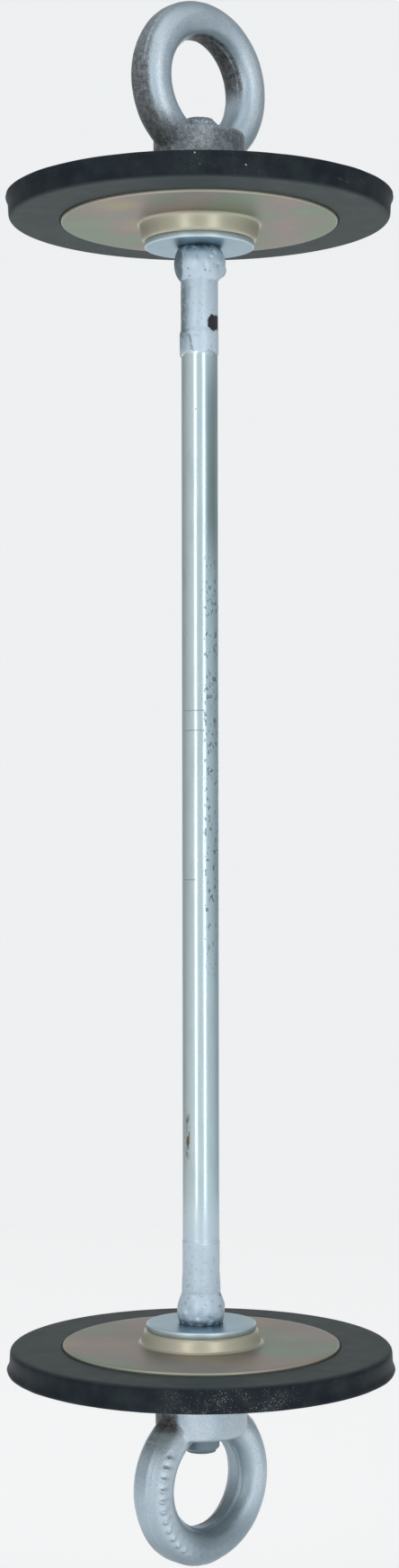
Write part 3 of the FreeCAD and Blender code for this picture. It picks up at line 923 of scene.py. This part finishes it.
def model_disc(end, sizes):
    """A moulded disc with a lip on the eye's side, its trimmed edge a little uneven."""
    node = f"{end}_rubber_disc"
    inner, outer = faces(node)
    out = outward(end)
    thickness = abs(outer - inner)
    lip_radius = rim_radius(node)
    wall = lip_radius - sizes.lip
    bore = sizes.bore / 2
    corners = [
        (bore, sizes.sunk),
        (sizes.recess, sizes.sunk),
        (sizes.recess + 0.3 * MM, 0),
        (wall, 0),
        (wall + 0.25 * sizes.lip, thickness - 1.9 * sizes.lip_edge),
        (lip_radius - 0.1 * MM, thickness - sizes.lip_edge),
        (lip_radius - 0.1 * MM, thickness - 0.3 * MM),
        (lip_radius - 0.9 * MM, thickness),
        (sizes.recess + 0.3 * MM, thickness),
        (sizes.recess, thickness - sizes.sunk),
        (bore, thickness - sizes.sunk),
    ]
    outline = [(radius, inner + out * level) for radius, level in corners]
    rounds = [(3, sizes.rim, 6), (4, 0.8 * MM, 3), (5, 0.3 * MM, 2), (6, 0.25 * MM, 2), (7, 0.4 * MM, 3)]
    piece = lathe(f"{node}_moulded", outline, 240, rounds, longest=1.3 * MM)
    middle = (inner + outer) / 2
    seed = 5.0 if end == "upper" else 11.0

    def trim(place):
        reach = math.hypot(place.x, place.y)
        if reach < sizes.recess + 1 * MM:
            return Vector((0, 0, 0))
        side = Vector((place.x, place.y, 0)) / reach
        swell = grain(side, 0.9, seed) - 0.9
        lip = ramp((place.z - inner) * out, thickness - 2 * MM, thickness - 1 * MM)
        nick = grain(side, 0.09, seed) - 0.5
        near_rim = ramp(reach, wall - 4 * MM, wall)
        sag = 0.0
        if abs(place.z - middle) > 0.4 * thickness and reach < wall - 2 * MM:
            sag = 0.25 * sizes.uneven * abs(grain(place, 18 * MM, seed))
        to_middle = Vector((0, 0, -sag if place.z > middle else sag))
        return side * sizes.uneven * near_rim * (0.5 * swell + 0.6 * lip * nick) + to_middle

    nudge(piece, trim)
    smooth_by_angle(piece, 35)
    return piece


def model_rod(sizes):
    """The bar: a threaded stud at each end, and paint films that stand a little proud beside the welds."""
    low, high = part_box("centre_rod")
    shank = high.x
    stud = shank - 0.08 * MM
    top_shoulder = shoulder("upper")
    bottom_shoulder = shoulder("lower")
    film_top = top_shoulder - 32 * MM
    film_bottom = bottom_shoulder + 26 * MM
    outline = [
        (0, high.z),
        (stud - sizes.chamfer, high.z),
        (stud, high.z - sizes.chamfer),
        (stud, top_shoulder),
        (shank, top_shoulder),
        (shank, film_top),
        (shank, film_bottom),
        (shank, bottom_shoulder),
        (stud, bottom_shoulder),
        (stud, low.z + sizes.chamfer),
        (stud - sizes.chamfer, low.z),
        (0, low.z),
    ]
    piece = lathe("centre_rod_bar", outline, sizes.sides, rounds=[], longest=sizes.pitch / 8)

    def shape(place):
        reach = math.hypot(place.x, place.y)
        if reach < stud - sizes.chamfer - TINY:
            return Vector((0, 0, 0))
        side = Vector((place.x, place.y, 0)) / reach
        on_stud = top_shoulder < place.z < high.z - TINY or low.z + TINY < place.z < bottom_shoulder
        if on_stud:
            turn = math.atan2(place.y, place.x) / (2 * math.pi)
            phase = (place.z / sizes.pitch - turn) % 1.0
            groove = min(1.0, max(0.0, (1 - abs(2 * phase - 1)) * 1.25 - 0.12))
            run_out = min(place.z - top_shoulder, high.z - place.z)
            if place.z < bottom_shoulder:
                run_out = min(bottom_shoulder - place.z, place.z - low.z)
            tip = min(high.z - place.z, place.z - low.z)
            part = ramp(run_out, 0, 1.2 * MM) * ramp(tip, SMOOTH_TIP + 0.1 * MM, SMOOTH_TIP + 1.1 * MM)
            return side * -sizes.thread_depth * groove * part
        if place.z > film_top:
            edge = UPPER_FILM_EDGE + 1.6 * MM * grain(place, 2.4 * MM, 7.0)
            band = ramp(place.z, edge - 0.25 * MM, edge + 0.1 * MM)
            sleeve_edge = SLEEVE_TOP - 1.2 * MM + 0.6 * MM * grain(place, 2 * MM, 9.0)
            sleeve = band * ramp(place.z, SLEEVE_TOP, sleeve_edge)
            flap = ramp(side.dot(-ACROSS), 0.55, 0.95) * sleeve
            lumps = 0.35 * band * max(0.0, grain(place, 2.2 * MM, 2.0))
            return side * sizes.film * (0.55 * band + 1.1 * sleeve + 1.8 * flap + lumps)
        if place.z < film_bottom:
            edge = LOWER_FILM_EDGE + 1.0 * MM * grain(place, 5 * MM, 4.0)
            band = ramp(place.z, edge + 0.2 * MM, edge - 0.2 * MM)
            bulge = ramp(place.z, LOWER_SWELL, LOWER_SWELL - 5.5 * MM)
            return side * sizes.film * (0.6 * band + 0.5 * band * grain(place, 3 * MM, 6.0) + 1.6 * bulge)
        return Vector((0, 0, 0))

    nudge(piece, shape)
    smooth_by_angle(piece, 30)
    return piece


def model_weld(end, sizes):
    """A bead of weld: a squashed ball with runs and spatter, cut flat where the washer bears on it."""
    node = f"{end}_weld_bead"
    face = faces(node)[1]
    in_ = -outward(end)
    radius = rim_radius(node) - 0.1 * MM
    upper = end == "upper"
    centre = face + in_ * (4.2 if upper else 3.4) * MM
    half = (7.3 if upper else 8.6) * MM
    piece = start(
        f"{node}_lump", bpy.ops.mesh.primitive_uv_sphere_add,
        segments=48, ring_count=32, radius=radius, location=(0, 0, centre),
    )
    with editing(piece):
        bpy.ops.mesh.select_all(action="SELECT")
        bpy.ops.transform.resize(value=(1, 1, half / radius), center_override=(0, 0, centre))
    neck = start(
        f"{node}_neck", bpy.ops.mesh.primitive_cone_add,
        vertices=48, radius1=radius * 0.93, radius2=4.9 * MM, depth=4.6 * MM,
        rotation=(math.pi if upper else 0, 0, 0), location=(0, 0, face + in_ * 7.0 * MM),
    )
    runs = [piece, neck]
    spots = weld_spots(end)
    for number, (turn, level, size) in enumerate(spots):
        side = WORN_SIDE * math.cos(math.radians(turn)) + ACROSS * math.sin(math.radians(turn))
        height = face + in_ * level * MM
        along = (height - centre) / half
        surface = radius * math.sqrt(max(0.0, 1 - along * along))
        place = side * (max(surface, 4.9 * MM) - 0.72 * size * MM) + Vector((0, 0, height))
        drop = start(
            f"{node}_drop_{number}", bpy.ops.mesh.primitive_ico_sphere_add,
            subdivisions=3, radius=size * MM, location=place,
        )
        runs.append(drop)
    join(runs)
    apply_modifier(piece, "REMESH", mode="VOXEL", voxel_size=sizes.voxel)
    apply_modifier(piece, "SMOOTH", factor=0.5, iterations=6)
    seed = 1.0 if upper else 8.0
    rim = rim_radius(node)

    def lumps(place):
        away = Vector((place.x, place.y, place.z - centre))
        if away.length < TINY:
            return away
        swell = grain(place, 5 * MM, seed) * 0.8 + grain(place, 1.8 * MM, seed) * 0.3
        reach = math.hypot(place.x, place.y)
        move = away.normalized() * sizes.lump * (swell - 0.3)
        return move if reach + move.length < rim or swell < 0.3 else Vector((0, 0, 0))

    nudge(piece, lumps)
    with editing(piece):
        bpy.ops.mesh.select_all(action="SELECT")
        up = in_ < 0
        bpy.ops.mesh.bisect(
            plane_co=(0, 0, face), plane_no=(0, 0, 1),
            use_fill=True, clear_outer=up, clear_inner=not up,
        )
        tidy_surface()
    smooth_by_angle(piece, 60)
    return piece


def weld_spots(end):
    """Blobs on a weld: degrees round from the worn side, mm from the shoulder, and size in mm."""
    if end == "upper":
        return [(40, 2.0, 1.3), (30, 3.2, 0.9), (52, 4.6, 1.1), (150, 4, 2.4), (-120, 3, 2.4), (100, 6, 2.2)]
    return [(-9, 1.7, 1.0), (-46, 3.3, 1.3), (-30, 1.7, 0.9), (28, 1.2, 0.8), (150, 3, 2.2), (-120, 4, 2.2)]


def join(pieces):
    """Join pieces into the first one."""
    bpy.ops.object.select_all(action="DESELECT")
    for piece in pieces:
        piece.select_set(True)
    bpy.context.view_layer.objects.active = pieces[0]
    bpy.ops.object.join()


def model_eye(end, sizes):
    """A forged eye: ring and base blended into one, the bore, the dies' parting line and, on the lower eye,
    a row of bars.
    """
    node = f"{end}_eye_nut"
    base_face, tip = faces(node)
    out = outward(end)
    centre = eye_centre(end)
    outer = abs(tip - centre)
    hole = sizes.hole / 2
    middle = (outer + hole) / 2
    wire = (outer - hole) / 2
    base_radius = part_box(node)[1].y
    ring = start(
        f"{node}_forged", bpy.ops.mesh.primitive_torus_add,
        major_radius=middle, minor_radius=wire, major_segments=128, minor_segments=40,
        rotation=(math.pi / 2, 0, 0), location=(0, 0, centre),
    )
    with editing(ring):
        bpy.ops.mesh.select_all(action="SELECT")
        bpy.ops.transform.resize(value=(1, sizes.depth / 2 / wire, 1), center_override=(0, 0, centre))
    base = start(
        f"{node}_base", bpy.ops.mesh.primitive_cylinder_add,
        vertices=96, radius=base_radius, depth=sizes.base_height,
        location=(0, 0, base_face + out * sizes.base_height / 2),
    )
    with editing(base):
        pick(base, "EDGE", lambda edge: abs(edge.verts[0].co.z - edge.verts[1].co.z) < TINY)
        bpy.ops.mesh.bevel(offset=1.0 * MM, segments=4)
    parts = [ring, base]
    if end == "lower":
        parts += model_bars(node, centre, middle, sizes)
    join(parts)
    bore = start(
        f"{node}_bore", bpy.ops.mesh.primitive_cylinder_add,
        vertices=64, radius=sizes.bore / 2, depth=2 * sizes.base_height,
        location=(0, 0, base_face + out * 0.6 * sizes.base_height),
    )
    apply_modifier(ring, "REMESH", mode="VOXEL", voxel_size=sizes.voxel)
    soften_crook(ring, centre, out, base_radius, sizes)
    apply_modifier(ring, "BOOLEAN", operation="DIFFERENCE", object=bore, solver="EXACT")
    bpy.data.objects.remove(bore)

    def parting(place):
        level = place.z - centre
        reach = math.hypot(place.x, level)
        if reach < TINY:
            return Vector((0, 0, 0))
        away = Vector((place.x, 0, level)) / reach
        turn = math.atan2(place.x, -level * out)
        clear_of_base = ramp(abs(turn), math.radians(38), math.radians(58))
        side = 1 if reach > middle else -1
        wander = abs(place.y) + 0.3 * MM * grain(place, 9 * MM, 2.0)
        land = ramp(wander, sizes.land / 2 + 0.3 * MM, sizes.land / 2 - 0.3 * MM)
        edge = bump_at(wander, sizes.land / 2 - 0.3 * MM, 0.45 * MM)
        on_edge = ramp(abs(reach - middle), 0.6 * wire, 0.8 * wire)
        strength = (0.75 + 0.5 * grain(away, 0.5, 3.0)) * (1.0 if end == "lower" else 0.35)
        ridge = sizes.ridge * (0.45 * land + 0.75 * edge) * on_edge * clear_of_base * strength
        skin = 0.05 * MM * grain(place, 3.2 * MM, 1.0) + 0.07 * MM * grain(place, 8 * MM, 4.0)
        return away * side * (ridge + skin * clear_of_base)

    nudge(ring, parting)
    pull_inside(ring, centre, outer, out)
    with editing(ring):
        tidy_surface()
    smooth_by_angle(ring, 50)
    return ring


def model_bars(node, centre, middle, sizes):
    """Short raised bars in a row round the front of the eye's left side, plain and all alike."""
    bars = []
    for number in range(sizes.bars):
        turn = math.radians(-186 + 8.4 * number)
        away = Vector((math.sin(turn), 0, math.cos(turn)))
        spot = away * (middle + 1.1 * MM)
        bar = start(
            f"{node}_bar_{number}", bpy.ops.mesh.primitive_cube_add,
            size=1, scale=(0.85 * MM, 1.4 * MM, 2.7 * MM),
            rotation=(0, turn, 0), location=(spot.x, -sizes.depth / 2 + 0.56 * MM, centre + spot.z),
        )
        bars.append(bar)
    return bars


def soften_crook(ring, centre, out, base_radius, sizes):
    """Smooth the whole forging once, and round out the crook where the ring meets the base."""
    apply_modifier(ring, "SMOOTH", factor=0.5, iterations=2)
    crook = ring.vertex_groups.new(name="crook")
    for vertex in ring.data.vertices:
        level = (vertex.co.z - centre) * out
        reach = math.hypot(vertex.co.x, level)
        top = ramp(level, -21.5 * MM, -19.5 * MM)
        near = ramp(level, -8 * MM, -11.5 * MM)
        lane = ramp(abs(math.hypot(vertex.co.x, vertex.co.y) - base_radius), 5 * MM, 2.5 * MM)
        inner_lane = ramp(reach, 18 * MM, 15 * MM) * ramp(abs(vertex.co.x), 12 * MM, 9 * MM)
        weight = top * near * max(lane, inner_lane)
        if weight > 0.01:
            crook.add([vertex.index], weight, "REPLACE")
    apply_modifier(ring, "SMOOTH", factor=0.7, iterations=sizes.fillet, vertex_group="crook")


def pull_inside(ring, centre, outer, out):
    """Keep the ridge and the skin inside the eye's own outside diameter."""
    for vertex in ring.data.vertices:
        level = vertex.co.z - centre
        reach = math.hypot(vertex.co.x, level)
        if level * out > -0.6 * outer and reach > outer:
            vertex.co.x *= outer / reach
            vertex.co.z = centre + level * outer / reach
    ring.data.update()


# ---------------------------------------------------------------- operators

class HANGER_OT_rod(bpy.types.Operator):
    """Make the long bar with its threads, plating and paint films"""

    bl_idname = "hanger.rod"
    bl_label = "Rod"
    bl_options = {"REGISTER", "UNDO"}

    def execute(self, context):
        kit = context.scene.hanging_rod
        piece = model_rod(kit.rod)
        put(piece, "centre_rod", galvanised_rod("galvanised_rod", kit.looks))
        return {"FINISHED"}


class HANGER_OT_welds(bpy.types.Operator):
    """Make the weld bead at each end of the bar"""

    bl_idname = "hanger.welds"
    bl_label = "Weld beads"
    bl_options = {"REGISTER", "UNDO"}

    def execute(self, context):
        kit = context.scene.hanging_rod
        for end in ENDS:
            # Painted shade on each weld's left side: full on the upper weld, a quarter on the lower.
            kit.looks.side_shade = 1.0 if end == "upper" else 0.25
            piece = model_weld(end, kit.weld)
            material = sprayed_weld(f"{end}_sprayed_weld", end, kit.looks)
            put(piece, f"{end}_weld_bead", material)
        return {"FINISHED"}


class HANGER_OT_washers(bpy.types.Operator):
    """Make the four flat washers"""

    bl_idname = "hanger.washers"
    bl_label = "Washers"
    bl_options = {"REGISTER", "UNDO"}

    def execute(self, context):
        kit = context.scene.hanging_rod
        material = zinc_washer("zinc_washer", kit.looks)
        for end in ENDS:
            for side in ("inner", "outer"):
                node = f"{end}_{side}_washer"
                put(model_washer(node, kit.washer), node, material)
        return {"FINISHED"}


class HANGER_OT_plates(bpy.types.Operator):
    """Make the four dished plates"""

    bl_idname = "hanger.plates"
    bl_label = "Dished plates"
    bl_options = {"REGISTER", "UNDO"}

    def execute(self, context):
        kit = context.scene.hanging_rod
        material = yellow_chromate("yellow_chromate", kit.looks)
        for end in ENDS:
            for side in ("inner", "outer"):
                node = f"{end}_{side}_plate"
                put(model_plate(node, kit.plate), node, material)
        return {"FINISHED"}


class HANGER_OT_discs(bpy.types.Operator):
    """Make both rubber discs"""

    bl_idname = "hanger.discs"
    bl_label = "Rubber discs"
    bl_options = {"REGISTER", "UNDO"}

    def execute(self, context):
        kit = context.scene.hanging_rod
        for end in ENDS:
            kit.looks.dust = 1.0 if end == "lower" else 0.12
            material = moulded_rubber(f"{end}_moulded_rubber", end, kit.looks)
            put(model_disc(end, kit.disc), f"{end}_rubber_disc", material)
        return {"FINISHED"}


class HANGER_OT_eyes(bpy.types.Operator):
    """Make both forged eye nuts"""

    bl_idname = "hanger.eyes"
    bl_label = "Eye nuts"
    bl_options = {"REGISTER", "UNDO"}

    def execute(self, context):
        kit = context.scene.hanging_rod
        for end in ENDS:
            material = sprayed_forging(f"{end}_sprayed_forging", end, kit.looks)
            put(model_eye(end, kit.eye), f"{end}_eye_nut", material)
        return {"FINISHED"}


class StageSettings(bpy.types.PropertyGroup):
    """The floor, the light and the camera."""

    floor_gap: length("Floor gap", "Height of the lower eye above the floor", 60 * MM)
    distance: length("Camera distance", "From the camera to the rod's axis", 697.5 * MM)
    camera_drop: length("Camera drop", "How far the camera is below the upper eye's centre", 193.6 * MM)
    lens: bpy.props.FloatProperty(name="Lens", description="Focal length", default=58.8, unit="CAMERA")
    roll: bpy.props.FloatProperty(
        name="Roll", description="Turn of the camera about its own axis", default=math.radians(-0.1),
        subtype="ANGLE",
    )
    shift: bpy.props.FloatVectorProperty(
        name="Shift", description="How far the picture is shifted across and up", default=(-0.0005, 0.0083),
        size=2, precision=4,
    )


class HANGER_OT_stage(bpy.types.Operator):
    """Make the floor, the soft light and the camera"""

    bl_idname = "hanger.stage"
    bl_label = "Stage"
    bl_options = {"REGISTER", "UNDO"}

    def execute(self, context):
        stage = context.scene.hanging_rod.stage
        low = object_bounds()[0]
        make_floor(low.z - stage.floor_gap)
        make_world(context.scene)
        for name, turn, rise, reach, width, height, power in LAMPS:
            make_lamp(name, turn, rise, reach, width, height, power)
        make_camera(context.scene, stage)
        context.scene.view_settings.view_transform = "Standard"
        return {"FINISHED"}


# Soft lamps: name, degrees round from the camera, metres up, metres away, width, height, watts.
LAMPS = (
    ("left_strip", -28, 0.0, 1.2, 0.19, 1.6, 2.2),
    ("right_strip", 27, 0.0, 1.2, 0.21, 1.6, 2.5),
    ("top_box", -30, 1.3, 0.5, 1.0, 1.0, 2.0),
)


def make_floor(height):
    """A plain pale floor."""
    add = bpy.ops.mesh.primitive_circle_add
    floor = start("floor", add, vertices=96, radius=0.9, location=(0, 0, height))
    with editing(floor):
        bpy.ops.mesh.select_all(action="SELECT")
        bpy.ops.mesh.edge_face_add()
    finish = new_finish("floor_paint")
    dusting = finish.cloud(finish.place(), 0.4, 2.0)
    shade = finish.blend(dusting, (0.90, 0.90, 0.90), (0.93, 0.93, 0.93))
    own_glow = {"Emission Color": (1.0, 1.0, 1.0), "Emission Strength": 0.3}
    inputs = {"Base Color": shade, "Roughness": 0.9, "Specular IOR Level": 0.0, **own_glow}
    shader = finish.node("ShaderNodeBsdfPrincipled", inputs=inputs)
    finish.node("ShaderNodeOutputMaterial", inputs={"Surface": shader})
    floor.data.materials.append(finish.owner)
    floor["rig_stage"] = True


def make_world(scene):
    """Even studio light, white behind the object and greyer at the sides."""
    world = bpy.data.worlds.new("studio")
    scene.world = world
    finish = Finish(world)
    toward = finish.along(finish.node("ShaderNodeTexCoord", output="Generated"), tuple(WORN_SIDE))
    glow = toward.rise(-0.84, -0.93) * 0.5 + toward.rise(-0.9, 1.0) * 0.42 + 0.38
    background = finish.node("ShaderNodeBackground", inputs={"Color": (0.97, 0.99, 1.0), "Strength": glow})
    finish.node("ShaderNodeOutputWorld", inputs={"Surface": background})


def make_lamp(name, turn, rise, reach, width, height, power):
    """A rectangular soft lamp that points at the middle of the rod."""
    low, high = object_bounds()
    middle = (low + high) / 2
    angle = math.radians(turn)
    side = WORN_SIDE * math.cos(angle) + ACROSS * math.sin(angle)
    lamp = bpy.data.lights.new(name, "AREA")
    lamp.shape = "RECTANGLE"
    lamp.size = width
    lamp.size_y = height
    lamp.energy = power
    holder = bpy.data.objects.new(name, lamp)
    holder.location = middle + side * reach + Vector((0, 0, rise))
    holder.rotation_euler = (middle - holder.location).to_track_quat("-Z", "Y").to_euler()
    bpy.context.scene.collection.objects.link(holder)


def make_camera(scene, stage):
    """The camera, level with the middle of the rod and turned to its worn side."""
    camera = bpy.data.cameras.new("camera")
    camera.sensor_fit = "AUTO"
    camera.sensor_width = 36
    camera.lens = stage.lens
    camera.shift_x, camera.shift_y = stage.shift
    camera.clip_start = 0.01
    camera.clip_end = 100
    holder = bpy.data.objects.new("camera", camera)
    place = WORN_SIDE * stage.distance + Vector((0, 0, -stage.camera_drop))
    look = (-WORN_SIDE).to_track_quat("-Z", "Y").to_matrix().to_4x4()
    holder.matrix_world = Matrix.Translation(place) @ look @ Matrix.Rotation(stage.roll, 4, "Z")
    scene.collection.objects.link(holder)
    scene.camera = holder


class HangingRodSettings(bpy.types.PropertyGroup):
    """Everything that a user can change."""

    rod: bpy.props.PointerProperty(type=RodSettings)
    weld: bpy.props.PointerProperty(type=WeldSettings)
    washer: bpy.props.PointerProperty(type=WasherSettings)
    plate: bpy.props.PointerProperty(type=PlateSettings)
    disc: bpy.props.PointerProperty(type=DiscSettings)
    eye: bpy.props.PointerProperty(type=EyeSettings)
    looks: bpy.props.PointerProperty(type=Looks)
    stage: bpy.props.PointerProperty(type=StageSettings)


OPERATORS = (
    HANGER_OT_rod,
    HANGER_OT_welds,
    HANGER_OT_washers,
    HANGER_OT_plates,
    HANGER_OT_discs,
    HANGER_OT_eyes,
    HANGER_OT_stage,
)


class HANGER_PT_kit(bpy.types.Panel):
    """The hanging rod's pieces, in the order they are made"""

    bl_label = "Hanging rod"
    bl_idname = "HANGER_PT_kit"
    bl_space_type = "VIEW_3D"
    bl_region_type = "UI"
    bl_category = "Hanging rod"

    def draw(self, context):
        for operator in OPERATORS:
            self.layout.operator(operator.bl_idname)


CLASSES = (
    RodSettings,
    WeldSettings,
    WasherSettings,
    PlateSettings,
    DiscSettings,
    EyeSettings,
    Looks,
    StageSettings,
    HangingRodSettings,
    *OPERATORS,
    HANGER_PT_kit,
)


def register():
    """Add the settings, the operators and the panel to Blender."""
    for item in CLASSES:
        bpy.utils.register_class(item)
    bpy.types.Scene.hanging_rod = bpy.props.PointerProperty(type=HangingRodSettings)


def unregister():
    """Take them all away again."""
    del bpy.types.Scene.hanging_rod
    for item in reversed(CLASSES):
        bpy.utils.unregister_class(item)


def main():
    register()
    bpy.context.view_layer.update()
    bpy.ops.hanger.rod()
    bpy.ops.hanger.welds()
    bpy.ops.hanger.washers()
    bpy.ops.hanger.plates()
    bpy.ops.hanger.discs()
    bpy.ops.hanger.eyes()
    bpy.ops.hanger.stage()


if __name__ == "__main__":
    main()
